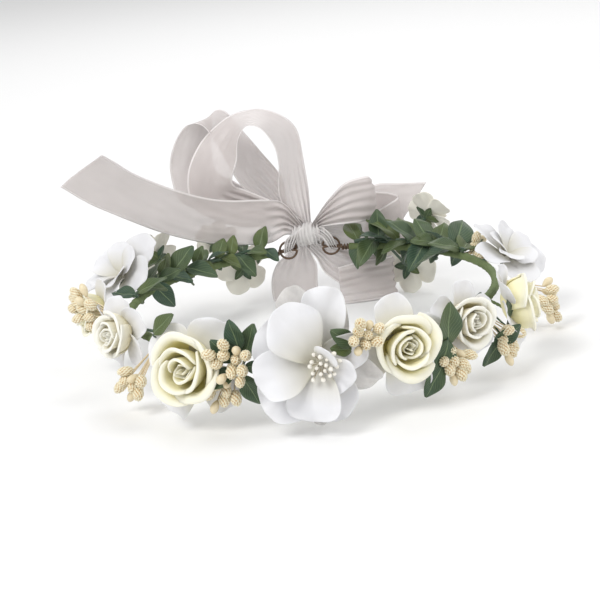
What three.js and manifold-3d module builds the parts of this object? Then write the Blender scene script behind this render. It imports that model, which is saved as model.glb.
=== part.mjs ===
// Flower crown. A wire hoop bound in floral tape carries foam roses, fabric flowers, berry sprays
// and leafy vines. An organza ribbon through the hoop's two end eyelets ties it behind the head.
// Millimetres, +Z up. The crown rests on z = 0 and its front faces -Y.

import * as THREE from "three";
import { mergeVertices } from "three/addons/utils/BufferGeometryUtils.js";
import Module from "manifold-3d";

const wasm = await Module();
wasm.setup();

// Driving dimensions.
const HOOP_RADIUS = 90;
const HOOP_HEIGHT = 32;
const WIRE_DIAMETER = 1.2;
const TAPE_DIAMETER = 4.4;
const TAPE_WALL = 1.2;
const EYELET_RADIUS = 4.6;
const STEM_DIAMETER = 1.5;
const RIBBON_WIDTH = 25;
const RIBBON_SOLID = 0.9;
const BERRY_LENGTH = 7.5;
const BERRY_DIAMETER = 4.8;
const GAP = 0.3;

// The two ends of the hoop, in degrees from the front, positive toward +X.
const LEFT_END = -171;
const RIGHT_END = 168;

// Centre of the bow's knot, just outside the gap in the hoop.
const KNOT = new THREE.Vector3(1, 95, HOOP_HEIGHT + 7);

const COLOURS = {
  wire: "#4a3a28",
  tape: "#55693f",
  foam: "#f4f0d0",
  white: "#f4f4fa",
  cream: "#eee8d2",
  berry: "#d8c48a",
  leaf: "#3c5c3f",
  ribbon: "#cfc6c6",
};

function material(colour, roughness = 0.8) {
  return new THREE.MeshStandardMaterial({ color: COLOURS[colour], roughness, metalness: 0 });
}

// A point by its angle from the front, its distance from the middle and its height over the hoop.
function around(angle, radius, height) {
  const turn = THREE.MathUtils.degToRad(angle);
  return new THREE.Vector3(radius * Math.sin(turn), -radius * Math.cos(turn), HOOP_HEIGHT + height);
}

function point(x, y, height) {
  return new THREE.Vector3(x, y, HOOP_HEIGHT + height);
}

// Closed solids from three.js geometry, and back again.
function solid(geometry) {
  const bare = geometry.index ? geometry.toNonIndexed() : geometry.clone();
  bare.deleteAttribute("normal");
  bare.deleteAttribute("uv");
  const merged = mergeVertices(bare, 1e-4);
  const corners = [];
  for (let i = 0; i < merged.index.count; i += 3) {
    const [a, b, c] = [0, 1, 2].map((k) => merged.index.getX(i + k));
    if (a !== b && b !== c && a !== c) corners.push(a, b, c);
  }
  const mesh = new wasm.Mesh({
    numProp: 3,
    vertProperties: new Float32Array(merged.attributes.position.array),
    triVerts: new Uint32Array(corners),
  });
  return new wasm.Manifold(mesh);
}

function joined(solids) {
  return solids.reduce((whole, next) => whole.add(next));
}

function geometryOf(body) {
  const mesh = body.getMesh();
  const geometry = new THREE.BufferGeometry();
  geometry.setAttribute("position", new THREE.BufferAttribute(mesh.vertProperties, 3));
  geometry.setIndex(new THREE.BufferAttribute(mesh.triVerts, 1));
  return geometry.toNonIndexed();
}

// Moves every corner of a geometry to where the function puts it.
function reshape(geometry, move) {
  const positions = geometry.attributes.position;
  const corner = new THREE.Vector3();
  for (let i = 0; i < positions.count; i += 1) {
    corner.fromBufferAttribute(positions, i);
    move(corner);
    positions.setXYZ(i, corner.x, corner.y, corner.z);
  }
  return geometry;
}

// Turns a geometry's +Z toward a direction, with its +Y as near upward as it can be.
function aimed(geometry, at, toward, roll = 0) {
  const forward = toward.clone().normalize();
  const guide = Math.abs(forward.z) > 0.97 ? new THREE.Vector3(0, 1, 0) : new THREE.Vector3(0, 0, 1);
  const side = new THREE.Vector3().crossVectors(guide, forward).normalize();
  const upward = new THREE.Vector3().crossVectors(forward, side);
  const frame = new THREE.Matrix4().makeBasis(side, upward, forward).setPosition(at);
  geometry.rotateZ(THREE.MathUtils.degToRad(roll));
  return geometry.applyMatrix4(frame);
}

function direction(facing, tilt) {
  const turn = THREE.MathUtils.degToRad(facing);
  const rise = THREE.MathUtils.degToRad(tilt);
  return new THREE.Vector3(
    Math.sin(turn) * Math.cos(rise),
    -Math.cos(turn) * Math.cos(rise),
    Math.sin(rise),
  );
}

// A bar along a smooth curve through the points, round as a regular polygon is.
function bar(points, diameter, sides, steps) {
  const corners = Array.from({ length: sides }, (_, i) => {
    const turn = (2 * Math.PI * i) / sides;
    return new THREE.Vector2(Math.cos(turn), Math.sin(turn)).multiplyScalar(diameter / 2);
  });
  const extrudePath = new THREE.CatmullRomCurve3(points);
  return solid(new THREE.ExtrudeGeometry(new THREE.Shape(corners), { extrudePath, steps }));
}

function arcPoints(from, to, count) {
  const angles = Array.from({ length: count + 1 }, (_, i) => from + ((to - from) * i) / count);
  return angles.map((angle) => around(angle, HOOP_RADIUS, 0));
}

// Hoop wire with a bent eyelet at each end.
const LEFT_EYELET = point(-9.5, 89.5, 1);
const RIGHT_EYELET = point(13.5, 89.5, 1);

function eyelet(centre, swell) {
  const ring = new THREE.TorusGeometry(EYELET_RADIUS, WIRE_DIAMETER / 2 + swell, 5, 10);
  ring.rotateX(Math.PI / 2);
  ring.translate(centre.x, centre.y, centre.z);
  return solid(ring);
}

function hoopWire(swell) {
  const hoop = bar(arcPoints(LEFT_END, RIGHT_END, 24), WIRE_DIAMETER + 2 * swell, 5, 40);
  return joined([hoop, eyelet(LEFT_EYELET, swell), eyelet(RIGHT_EYELET, swell)]);
}

// Wound tape: a sleeve that is open at both ends and stops short of the eyelets.
function tapeSleeve(swell) {
  const sleeve = bar(arcPoints(LEFT_END + 3, RIGHT_END - 3, 24), TAPE_DIAMETER + 2 * swell, 6, 40);
  if (swell > 0) return sleeve;
  const bore = bar(arcPoints(LEFT_END + 2, RIGHT_END - 2, 24), TAPE_DIAMETER - 2 * TAPE_WALL, 6, 40);
  return sleeve.subtract(bore);
}

// A wired stem from the hoop out to the back of a flower.
function stem(from, to, swell) {
  return bar([from, from.clone().lerp(to, 0.5), to], STEM_DIAMETER + 2 * swell, 5, 2);
}

// A layer of petals: a shallow scalloped cone, facing +Z, with its middle at the origin.
function petalCup({ radius, petals, depth, thickness, notch = 0.16 }, swell) {
  const half = thickness / 2 + swell;
  const outer = radius + swell;
  const profile = [
    [0, -half],
    [outer, -half],
    [outer, half],
    [0, half],
  ];
  const disc = new THREE.LatheGeometry(profile.map(([r, z]) => new THREE.Vector2(r, z)), petals * 4);
  disc.rotateX(Math.PI / 2);
  return reshape(disc, (p) => {
    const reach = Math.hypot(p.x, p.y) / outer;
    const scallop = 1 - notch * reach * (1 - Math.abs(Math.sin((petals * Math.atan2(p.y, p.x)) / 2)));
    p.x *= scallop;
    p.y *= scallop;
    p.z += depth * reach;
  });
}

// Foam rose head: a round cup of rolled petals with its bud standing in the middle.
function roseHead(size, swell) {
  const r = size / 2 + swell;
  const back = -0.34 * size - swell;
  const profile = [
    [0, back],
    [0.55 * r, 0.85 * back],
    [0.96 * r, 0.35 * back],
    [r, 0.1 * size],
    [0.78 * r, 0.24 * size + swell],
    [0.62 * r, 0.14 * size + swell],
    [0.42 * r, 0.28 * size + swell],
    [0, 0.24 * size + swell],
  ];
  const head = new THREE.LatheGeometry(profile.map(([x, z]) => new THREE.Vector2(x, z)), 10);
  return head.rotateX(Math.PI / 2);
}

// A leaf or a berry: a four or five sided spindle from one point toward another.
function spindle(from, to, width, thickness, sides, rings) {
  const length = from.distanceTo(to);
  const body = new THREE.SphereGeometry(1, sides, rings);
  body.rotateX(Math.PI / 2);
  body.scale(width / 2, thickness / 2, length / 2);
  return solid(aimed(body, from.clone().lerp(to, 0.5), to.clone().sub(from)));
}

// A spray of wired berries that fans out of one point on the hoop.
function berrySpray({ root, middle, spread, count, facing }, swell) {
  const outward = direction(facing, 0);
  const side = new THREE.Vector3(0, 0, 1).cross(outward);
  const upward = new THREE.Vector3(0, 0, 1);
  const parts = [];
  for (let i = 0; i < count; i += 1) {
    const turn = i * 2.4;
    const reach = spread * Math.sqrt((i + 0.5) / count);
    const centre = middle.clone()
      .addScaledVector(side, reach * Math.cos(turn))
      .addScaledVector(upward, reach * Math.sin(turn))
      .addScaledVector(outward, 2 * Math.cos(i));
    const axis = centre.clone().sub(root).normalize();
    const base = centre.clone().addScaledVector(axis, -BERRY_LENGTH / 2 - swell);
    const tip = centre.clone().addScaledVector(axis, BERRY_LENGTH / 2 + swell);
    parts.push(spindle(base, tip, BERRY_DIAMETER + 2 * swell, BERRY_DIAMETER + 2 * swell, 4, 3));
    parts.push(bar([root, root.clone().lerp(centre, 0.5), centre], 1.2 + 2 * swell, 3, 1));
  }
  return joined(parts);
}

// A leafy vine: a stem along the hoop with leaves in turn to both sides.
function vine({ from, to, leaves, length, width, rise }, swell) {
  const lift = TAPE_DIAMETER / 2 + 1.4;
  const spine = [0, 0.25, 0.5, 0.75, 1].map((t) => around(from + (to - from) * t, HOOP_RADIUS, lift));
  const parts = [bar(spine, 1.6 + 2 * swell, 5, 8)];
  for (let i = 0; i < leaves; i += 1) {
    const angle = from + ((to - from) * (i + 0.6)) / leaves;
    const turn = i * 2.1 + 0.5;
    const root = around(angle, HOOP_RADIUS, lift);
    const lean = around(angle + Math.sign(to - from) * 7, HOOP_RADIUS, lift).sub(root).normalize();
    const heading = direction(angle, 0).multiplyScalar(Math.cos(turn)).addScaledVector(lean, 0.9);
    heading.z += rise * Math.max(-0.3, Math.sin(turn));
    const reach = length * (1 - 0.07 * ((i * 7) % 5));
    const tip = root.clone().addScaledVector(heading.normalize(), reach + swell);
    parts.push(spindle(root, tip, width + 2 * swell, 1.3 + 2 * swell, 4, 3));
  }
  return joined(parts);
}

// Single wired leaves between the flowers, each from a root on the hoop to its tip.
function wiredLeaves(list, width, swell) {
  return list.map(([root, tip]) => spindle(root, tip, width + 2 * swell, 1.3 + 2 * swell, 4, 4));
}

// Ribbon: a thin strip along a smooth centreline, with the way across it given at each point.
function ribbon(course, swell) {
  const line = new THREE.CatmullRomCurve3(course.map(([centre]) => centre));
  const widths = new THREE.CatmullRomCurve3(course.map(([, width]) => width));
  const box = new THREE.BoxGeometry(1, 1, 1, 2 * course.length, 2, 1);
  return solid(reshape(box, (p) => {
    const t = (p.x + 0.5) * (1 - 1e-6);
    const along = line.getTangent(t);
    const width = widths.getPoint(t);
    const normal = new THREE.Vector3().crossVectors(along, width).normalize();
    const stretch = 1 + (2 * swell) / width.length();
    const middle = line.getPoint(t).addScaledVector(along, 2 * p.x * swell);
    middle.addScaledVector(width, p.y * stretch);
    p.copy(middle.addScaledVector(normal, p.z * (RIBBON_SOLID + 2 * swell)));
  }));
}

function across(x, y, z, width = RIBBON_WIDTH) {
  return new THREE.Vector3(x, y, z).normalize().multiplyScalar(width);
}

// Every piece, firm or soft. Soft pieces give way: they are trimmed clear of all the firm ones.
const pieces = [];

function firm(name, colour, build, roughness) {
  pieces.push({ name, colour, build, roughness, rank: 0 });
}

function soft(name, colour, build, roughness) {
  pieces.push({ name, colour, build, roughness, rank: 1 });
}

firm("hoop_wire", "wire", hoopWire, 0.5);
firm("floral_tape", "tape", tapeSleeve, 0.9);

// Foam roses, from the left end of the arc to the right: place, size and the way each one faces.
const ROSES = [
  { angle: -93, radius: 109, height: 1, size: 24, facing: -82, tilt: 8 },
  { angle: -66, radius: 103, height: 2, size: 24, facing: -50, tilt: 4 },
  { angle: -33, radius: 108, height: -3, size: 34, facing: -26, tilt: 10 },
  { angle: 20.5, radius: 107, height: 0, size: 31, facing: 20, tilt: 8 },
  { angle: 42, radius: 103, height: 1, size: 25, facing: 34, tilt: 8 },
  { angle: 64, radius: 107, height: -1, size: 28, facing: 84, tilt: 12 },
];

ROSES.forEach((rose, i) => {
  const centre = around(rose.angle, rose.radius, rose.height);
  const toward = direction(rose.facing, rose.tilt);
  const behind = centre.clone().addScaledVector(toward, -0.34 * rose.size);
  const name = `rose_${i + 1}`;
  firm(`${name}_head`, "foam", (swell) => solid(aimed(roseHead(rose.size, swell), centre, toward)));
  const cup = { radius: 0.66 * rose.size, petals: 4, depth: 0.16 * rose.size, thickness: 1.2 };
  soft(`${name}_collar`, "white", (swell) => solid(aimed(petalCup(cup, swell), behind, toward, 30 * i)));
  const root = around(rose.angle, HOOP_RADIUS, 0);
  firm(`${name}_stem`, "tape", (swell) => stem(root, behind, swell), 0.9);
});

// The large fabric flower at the front: two petal layers, a loose sheer layer and stamens.
const FLOWER = { centre: around(0, 108, 0), toward: direction(4, 10) };

function flowerLayer(offset, roll, cup) {
  const at = FLOWER.centre.clone().addScaledVector(FLOWER.toward, offset);
  return (swell) => solid(aimed(petalCup(cup, swell), at, FLOWER.toward, roll));
}

function stamenTuft(swell) {
  const tuft = new THREE.SphereGeometry(1, 10, 6);
  tuft.scale(7.5 + swell, 7.5 + swell, 4.5 + swell);
  return solid(aimed(tuft, FLOWER.centre.clone().addScaledVector(FLOWER.toward, 9), FLOWER.toward));
}

firm("big_flower_stamens", "berry", stamenTuft);
soft("big_flower_inner_petals", "white", flowerLayer(2, 10, {
  radius: 24, petals: 5, depth: 9, thickness: 1.4,
}));
soft("big_flower_outer_petals", "white", flowerLayer(-3, 46, {
  radius: 31, petals: 5, depth: 7, thickness: 1.4,
}));
soft("big_flower_sheer_petals", "white", flowerLayer(-6.5, 20, {
  radius: 30, petals: 5, depth: 2, thickness: 1.2, notch: 0.3,
}));
firm("big_flower_stem", "tape", (swell) => stem(around(0, HOOP_RADIUS, 0), around(0, 102, -1), swell), 0.9);

// White fabric flowers at the ends of the arc and cream ones behind, each with its calyx and stem.
const WHITE_FLOWERS = [
  { name: "left_flower", angle: -117, radius: 106, height: 6, size: 40, facing: -55, tilt: 50 },
  { name: "right_flower", angle: 110, radius: 106, height: -1, size: 36, facing: 55, tilt: 50 },
];

const CREAM_FLOWERS = [
  { name: "back_flower_1", angle: -135, radius: 112, height: 7, size: 24, facing: -140, tilt: 20 },
  { name: "back_flower_2", angle: -161, radius: 109, height: -10, size: 24, facing: -160, tilt: -12 },
  { name: "back_flower_3", angle: -155, radius: 113, height: 7, size: 20, facing: -160, tilt: 25 },
  { name: "back_flower_4", angle: 151, radius: 112, height: -17, size: 25, facing: 160, tilt: -14 },
  { name: "back_flower_5", angle: 145, radius: 116, height: 10, size: 22, facing: 140, tilt: 20 },
];

function fabricFlower({ name, angle, radius, height, size, facing, tilt }, colour, roll) {
  const centre = around(angle, radius, height);
  const toward = direction(facing, tilt);
  const cup = { radius: size / 2, petals: 5, depth: 0.24 * size, thickness: 1.3 };
  const root = around(angle, HOOP_RADIUS, 0);
  const seat = centre.clone().addScaledVector(toward, -3.4);
  soft(`${name}_petals`, colour, (swell) => solid(aimed(petalCup(cup, swell), centre, toward, roll)));
  firm(`${name}_calyx`, "leaf", (swell) => {
    const cone = new THREE.ConeGeometry(3 + swell, 5 + 2 * swell, 7);
    cone.rotateX(-Math.PI / 2);
    return solid(aimed(cone, seat, toward)).add(stem(root, seat, swell));
  });
}

WHITE_FLOWERS.forEach((flower, i) => fabricFlower(flower, "white", 25 * i));
CREAM_FLOWERS.forEach((flower, i) => fabricFlower(flower, "cream", 25 * i + 50));

// Berry sprays: where each one is rooted on the hoop and where its berries gather.
const SPRAYS = [
  { angle: -82, middle: around(-89, 110, 6), spread: 8, count: 6, facing: -70 },
  { angle: -56, middle: around(-56, 105, -18), spread: 8, count: 6, facing: -46 },
  { angle: -21, middle: around(-20, 112, 2), spread: 10, count: 8, facing: -20 },
  { angle: -24, middle: around(-24, 108, -15), spread: 8, count: 5, facing: -24 },
  { angle: 12, middle: around(11, 114, 10), spread: 7, count: 5, facing: 11 },
  { angle: 35, middle: around(35, 108, -15), spread: 8, count: 6, facing: 32 },
  { angle: 55, middle: around(54, 109, -15), spread: 8, count: 6, facing: 48 },
  { angle: 86, middle: around(91, 115, -12), spread: 9, count: 6, facing: 76 },
  { angle: 121, middle: around(120, 101, 3), spread: 6, count: 4, facing: 90 },
];

SPRAYS.forEach((spray, i) => {
  const root = around(spray.angle, HOOP_RADIUS, 0);
  firm(`berry_spray_${i + 1}`, "berry", (swell) => berrySpray({ ...spray, root }, swell));
});

// Organza ribbon: the knot holds two standing loops, a small puff and four tails.
function knot(swell) {
  const bundle = new THREE.CylinderGeometry(5.5 + swell, 5.5 + swell, 15 + 2 * swell, 10);
  bundle.rotateZ(Math.PI / 2);
  bundle.translate(KNOT.x, KNOT.y, KNOT.z);
  const threads = [LEFT_EYELET, RIGHT_EYELET].map((hole) => bar([
    new THREE.Vector3(hole.x, hole.y - 3, hole.z),
    new THREE.Vector3(hole.x, hole.y + 2, hole.z + 0.5),
    new THREE.Vector3(THREE.MathUtils.lerp(hole.x, KNOT.x, 0.6), KNOT.y - 1, KNOT.z - 2),
  ], 4.6 + 2 * swell, 6, 4));
  return joined([solid(bundle), ...threads]);
}

firm("bow_knot", "ribbon", knot);

const RIBBONS = {
  bow_front_loop: [
    [point(-1, 98.5, 15), across(1, 0.2, 0, 11)],
    [point(-3, 101, 30), across(0.8, 0.6, 0, 20)],
    [point(-3, 103, 46), across(0.55, 0.85, 0)],
    [point(-5, 102, 60), across(0.5, 0.85, 0.2)],
    [point(-13, 99, 70), across(0.35, 0.92, 0.15)],
    [point(-23, 97.5, 73), across(0.15, 0.97, 0.2)],
    [point(-33, 95, 68), across(-0.25, 0.9, 0.35)],
    [point(-41, 93, 57), across(-0.75, 0.55, 0.35)],
    [point(-47, 93, 44), across(-0.95, 0.25, 0.05)],
    [point(-45, 94, 32), across(-0.85, 0.1, -0.45)],
    [point(-30, 95.5, 24), across(-0.3, 0, -0.95, 20)],
    [point(-8.5, 97, 17), across(0, 0.1, -1, 10)],
  ],
  bow_back_loop: [
    [point(-8.5, 101.5, 19), across(0.2, 0, 1, 9)],
    [point(-15, 104.5, 31), across(0.6, 0.3, 0.6, 18)],
    [point(-26, 108, 45), across(0.5, 0.7, 0.6)],
    [point(-35, 111, 61), across(0.5, 0.85, 0.2)],
    [point(-42, 111, 72), across(0.5, 0.85, 0.1)],
    [point(-49.5, 108, 73), across(0.6, 0.8, 0.1)],
    [point(-54.5, 105, 63), across(0.8, 0.55, 0.1)],
    [point(-56.5, 103, 50), across(0.9, 0.3, 0.25)],
    [point(-53, 101, 37), across(0.8, 0.1, 0.6)],
    [point(-38, 100, 30), across(0.3, 0, 1, 20)],
    [point(-21, 98.8, 22), across(0.1, 0, 1, 12)],
  ],
  left_tail: [
    [point(-9.5, 91.5, 17.5), across(0, -0.1, 1, 18)],
    [point(-20, 89.5, 17.5), across(0, -0.1, 1)],
    [point(-38, 85, 20), across(0.05, -0.1, 1)],
    [point(-54, 78.5, 25), across(0.2, -0.1, 1)],
    [point(-71, 71, 33.5), across(0.33, -0.1, 0.95)],
    [point(-88, 61.5, 45), across(0.37, -0.1, 0.93)],
    [point(-100, 53, 55), across(0.6, -0.05, 0.75, 26)],
    [point(-109, 45, 64), across(0.85, 0, 0.52, 27)],
  ],
  right_tail: [
    [point(14.5, 99, 6), across(0.1, 0, 1, 12)],
    [point(24, 101.5, 1), across(0.1, 0, 1, 24)],
    [point(36, 103, 0), across(0, 0, 1)],
    [point(47, 104, 4), across(-0.1, 0, 1)],
    [point(54, 107, 7), across(-0.1, 0.1, 1)],
    [point(48, 110.5, 9), across(0, 0, 1)],
    [point(39, 112, 10.5), across(0.1, 0, 1)],
    [point(35, 115.5, 12), across(0.2, 0, 1)],
    [point(42, 118.5, 13), across(0.1, 0, 1)],
    [point(52, 118.5, 12.5), across(0.3, 0, 1)],
    [point(61, 117.5, 12.5), across(0.6, 0, 0.8, 28)],
  ],
  hanging_tail: [
    [point(-4, 96, -2), across(1, 0, 0, 12)],
    [point(-6, 97.5, -10), across(1, 0, -0.1, 22)],
    [point(-8, 98, -19), across(1, 0, -0.1)],
    [point(-8, 99, -28), across(1, 0, 0)],
    [point(-6, 105, -30.5), across(1, 0.1, 0)],
    [point(-4, 118, -30.9), across(1, 0.1, 0)],
  ],
  draped_tail: [
    [point(9, 96.5, -4), across(0.8, 0, 0.6, 10)],
    [point(16, 96, -10), across(0.7, 0, 0.7, 18)],
    [point(27, 95.5, -16), across(0.5, 0, 0.85, 22)],
    [point(39, 96.5, -20), across(0.2, 0, 1, 22)],
    [point(47, 95, -20.5), across(0, 0.1, 1, 22)],
    [point(42, 91, -20.5), across(0, 0.1, 1, 22)],
    [point(30, 89, -20.5), across(0, 0.2, 1, 22)],
    [point(16, 88, -21.5), across(0, 0.3, 1, 20)],
  ],
  bow_puff: [
    [point(8, 91.5, 15), across(0.3, 0, 1, 9)],
    [point(15, 89, 20), across(0.15, 0, 1, 16)],
    [point(24, 87.5, 23.5), across(0, 0, 1, 22)],
    [point(33, 88.5, 24.5), across(0, 0, 1, 24)],
    [point(37.5, 92, 24), across(0, 0, 1, 24)],
    [point(33, 95.5, 23.5), across(0, 0, 1, 23)],
    [point(24, 96.5, 22), across(0, 0, 1, 19)],
    [point(14, 96, 17), across(0.2, 0, 1, 11)],
  ],
};

for (const [name, course] of Object.entries(RIBBONS)) {
  soft(name, "ribbon", (swell) => ribbon(course, swell));
}

soft("left_vine", "leaf", (swell) => vine({
  from: -122, to: -166, leaves: 14, length: 17, width: 7, rise: 0.5,
}, swell));
soft("right_vine", "leaf", (swell) => vine({
  from: 122, to: 163, leaves: 14, length: 19, width: 8, rise: 0.8,
}, swell));

soft("left_leaves", "leaf", (swell) => joined([
  bar(arcPoints(-60, -18, 5).map((p) => p.setZ(p.z + 3.8)), 1.6 + 2 * swell, 4, 5),
  ...wiredLeaves([
    [around(-58, 90, 3.8), around(-56, 100, 14)],
    [around(-24, 90, 3.8), around(-27, 112, 12)],
    [around(-20, 90, 3.8), around(-19, 110, 14)],
    [around(-18, 90, 3.8), around(-11, 108, 12)],
  ], 8, swell),
]));

soft("right_leaves", "leaf", (swell) => joined([
  bar(arcPoints(27, 60, 5).map((p) => p.setZ(p.z + 3.8)), 1.6 + 2 * swell, 4, 5),
  ...wiredLeaves([
    [around(34, 90, 3.8), around(33, 113, 6)],
    [around(36, 90, 3.8), around(38, 104, 16)],
    [around(56, 90, 3.8), around(56, 112, 8)],
  ], 8, swell),
]));

// Trimming: the swollen shapes of the earlier pieces near by are cut away, and the main body stays.
function near(a, b) {
  return [0, 1, 2].every((k) => a.min[k] < b.max[k] && b.min[k] < a.max[k]);
}

function mainBody(body) {
  const bodies = body.decompose();
  return bodies.reduce((best, next) => (next.volume() > best.volume() ? next : best));
}

const crown = new THREE.Group();
const earlier = [];

const inOrder = [...pieces].sort((a, b) => a.rank - b.rank);

for (const piece of inOrder) {
  let body = piece.build(0);
  const box = body.boundingBox();
  for (const other of earlier) {
    if (near(box, other.box)) body = body.subtract(other.swollen);
  }
  const mesh = new THREE.Mesh(geometryOf(mainBody(body)), material(piece.colour, piece.roughness));
  mesh.name = piece.name;
  crown.add(mesh);
  const swollen = piece.build(GAP);
  earlier.push({ swollen, box: swollen.boundingBox() });
}

export default crown;
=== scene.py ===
import math
import random

import bpy
from mathutils import Matrix, Vector, noise


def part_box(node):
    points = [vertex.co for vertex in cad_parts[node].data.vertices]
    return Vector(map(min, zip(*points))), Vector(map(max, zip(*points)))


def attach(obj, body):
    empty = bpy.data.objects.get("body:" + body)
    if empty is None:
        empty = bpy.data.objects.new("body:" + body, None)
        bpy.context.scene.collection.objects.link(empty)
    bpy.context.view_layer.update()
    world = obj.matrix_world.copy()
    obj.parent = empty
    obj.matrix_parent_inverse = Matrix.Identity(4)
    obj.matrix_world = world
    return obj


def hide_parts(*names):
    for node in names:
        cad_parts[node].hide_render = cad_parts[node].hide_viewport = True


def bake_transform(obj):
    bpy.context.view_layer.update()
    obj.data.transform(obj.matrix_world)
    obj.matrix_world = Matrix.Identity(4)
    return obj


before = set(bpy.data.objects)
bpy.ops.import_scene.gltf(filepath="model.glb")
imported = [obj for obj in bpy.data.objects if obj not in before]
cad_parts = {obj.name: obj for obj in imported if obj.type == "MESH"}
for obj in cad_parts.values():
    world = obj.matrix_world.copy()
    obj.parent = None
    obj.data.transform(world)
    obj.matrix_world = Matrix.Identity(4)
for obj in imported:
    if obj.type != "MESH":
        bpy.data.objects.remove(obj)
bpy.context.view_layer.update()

# Camera and studio. A long lens looks a little down on the crown's front, leaning six degrees,
# over a plain white floor under broad soft lights.

MM = 0.001
hoop_low, hoop_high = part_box("floral_tape")
TAPE_RADIUS = (hoop_high.z - hoop_low.z) / 2
HOOP_RADIUS = (hoop_high.x - hoop_low.x) / 2 - TAPE_RADIUS
HOOP_HEIGHT = (hoop_high.z + hoop_low.z) / 2

LENS = 110.4
CAMERA_DISTANCE = 0.9
CAMERA_LEFT = 5.87 * MM
CAMERA_DOWN = 2.93 * MM
view_drop = math.radians(15.7)
view_lean = math.radians(6)
toward_camera = Vector((0, -math.cos(view_drop), math.sin(view_drop)))
level_right = Vector((1, 0, 0))
level_up = toward_camera.cross(level_right)
camera_right = level_right * math.cos(view_lean) - level_up * math.sin(view_lean)
camera_up = level_right * math.sin(view_lean) + level_up * math.cos(view_lean)

bpy.ops.object.camera_add()
camera = bpy.context.active_object
camera.data.lens = LENS
camera.matrix_world = Matrix((
    (camera_right.x, camera_up.x, toward_camera.x, 0),
    (camera_right.y, camera_up.y, toward_camera.y, 0),
    (camera_right.z, camera_up.z, toward_camera.z, 0),
    (0, 0, 0, 1),
))
camera.location = (
    Vector((0, 0, HOOP_HEIGHT)) + CAMERA_DISTANCE * toward_camera
    - CAMERA_LEFT * camera_right - CAMERA_DOWN * camera_up
)
bpy.context.scene.camera = camera
bpy.context.scene.view_settings.view_transform = "Standard"

bpy.ops.mesh.primitive_plane_add(size=6)
floor = bpy.context.active_object
floor.name = "floor"
floor_white = bpy.data.materials.new("floor_white")
floor_white.use_nodes = True
floor_shader = floor_white.node_tree.nodes["Principled BSDF"]
floor_shader.inputs["Base Color"].default_value = (0.9, 0.9, 0.9, 1)
floor_shader.inputs["Roughness"].default_value = 0.9
floor.data.materials.append(floor_white)

world = bpy.data.worlds.new("studio_world")
world.use_nodes = True
world.node_tree.nodes["Background"].inputs["Color"].default_value = (1, 1, 1, 1)
world.node_tree.nodes["Background"].inputs["Strength"].default_value = 0.62
bpy.context.scene.world = world

CROWN_MIDDLE = Vector((0, 0, 0.03))


def soft_light(place, size, watts):
    """A broad square light that looks at the middle of the hoop."""
    bpy.ops.object.light_add(type="AREA", location=place)
    light = bpy.context.active_object
    light.data.size = size
    light.data.energy = watts
    light.rotation_euler = (CROWN_MIDDLE - Vector(place)).to_track_quat("-Z", "Y").to_euler()


soft_light((-0.9, -0.9, 1.3), 0.8, 16)
soft_light((1.1, -0.5, 1.0), 1.0, 7)
soft_light((0.1, 1.2, 1.1), 1.0, 6)


# Foam rose heads. Each is a roll of soft ivory foam sheet with round petals glued round it, whose
# rims curl outward. The foam is yellower deep between the petals.

def new_group(name, inputs, outputs):
    group = bpy.data.node_groups.new(name, "ShaderNodeTree")
    for label, kind, value in inputs:
        socket = group.interface.new_socket(label, in_out="INPUT", socket_type=kind)
        socket.default_value = value
    for label, kind in outputs:
        group.interface.new_socket(label, in_out="OUTPUT", socket_type=kind)
    return group, group.nodes.new("NodeGroupInput"), group.nodes.new("NodeGroupOutput")


def node(tree, kind, **values):
    made = tree.nodes.new(kind)
    for key, value in values.items():
        setattr(made, key, value)
    return made


def wire(tree, source, target):
    tree.links.new(source, target)


# Mottling: a soft cloudy mask that breaks up an even colour.
mottle_group, mottle_in, mottle_out = new_group(
    "mottling",
    [("Scale", "NodeSocketFloat", 200.0)],
    [("Mask", "NodeSocketFloat")],
)
mottle_place = node(mottle_group, "ShaderNodeTexCoord")
clouds = node(mottle_group, "ShaderNodeTexNoise")
clouds.inputs["Detail"].default_value = 4.0
wire(mottle_group, mottle_place.outputs["Object"], clouds.inputs["Vector"])
wire(mottle_group, mottle_in.outputs["Scale"], clouds.inputs["Scale"])
wire(mottle_group, clouds.outputs["Fac"], mottle_out.inputs["Mask"])


def use_group(tree, group, **values):
    made = tree.nodes.new("ShaderNodeGroup")
    made.node_tree = group
    for label, value in values.items():
        made.inputs[label].default_value = value
    return made


def mixed(tree, fac, first, second):
    """A colour mix whose ends are colours or sockets."""
    mix = node(tree, "ShaderNodeMix", data_type="RGBA")
    wire(tree, fac, mix.inputs["Factor"])
    for end, label in ((first, "A"), (second, "B")):
        socket = [s for s in mix.inputs if s.name == label and s.type == "RGBA"][0]
        if isinstance(end, tuple):
            socket.default_value = (*end, 1)
        else:
            wire(tree, end, socket)
    return [s for s in mix.outputs if s.type == "RGBA"][0]


def ranged(tree, value, low, high, start=0.0, end=1.0):
    """A value carried from one range to another, held at its ends."""
    remap = node(tree, "ShaderNodeMapRange")
    for label, number in (("From Min", low), ("From Max", high), ("To Min", start), ("To Max", end)):
        remap.inputs[label].default_value = number
    wire(tree, value, remap.inputs["Value"])
    return remap.outputs["Result"]


def bumped(tree, shader, height, strength, distance):
    bump = node(tree, "ShaderNodeBump")
    bump.inputs["Strength"].default_value = strength
    bump.inputs["Distance"].default_value = distance
    wire(tree, height, bump.inputs["Height"])
    wire(tree, bump.outputs["Normal"], shader.inputs["Normal"])


def new_finish(name, roughness):
    finish = bpy.data.materials.new(name)
    finish.use_nodes = True
    shader = finish.node_tree.nodes["Principled BSDF"]
    shader.inputs["Roughness"].default_value = roughness
    return finish, finish.node_tree, shader


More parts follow.
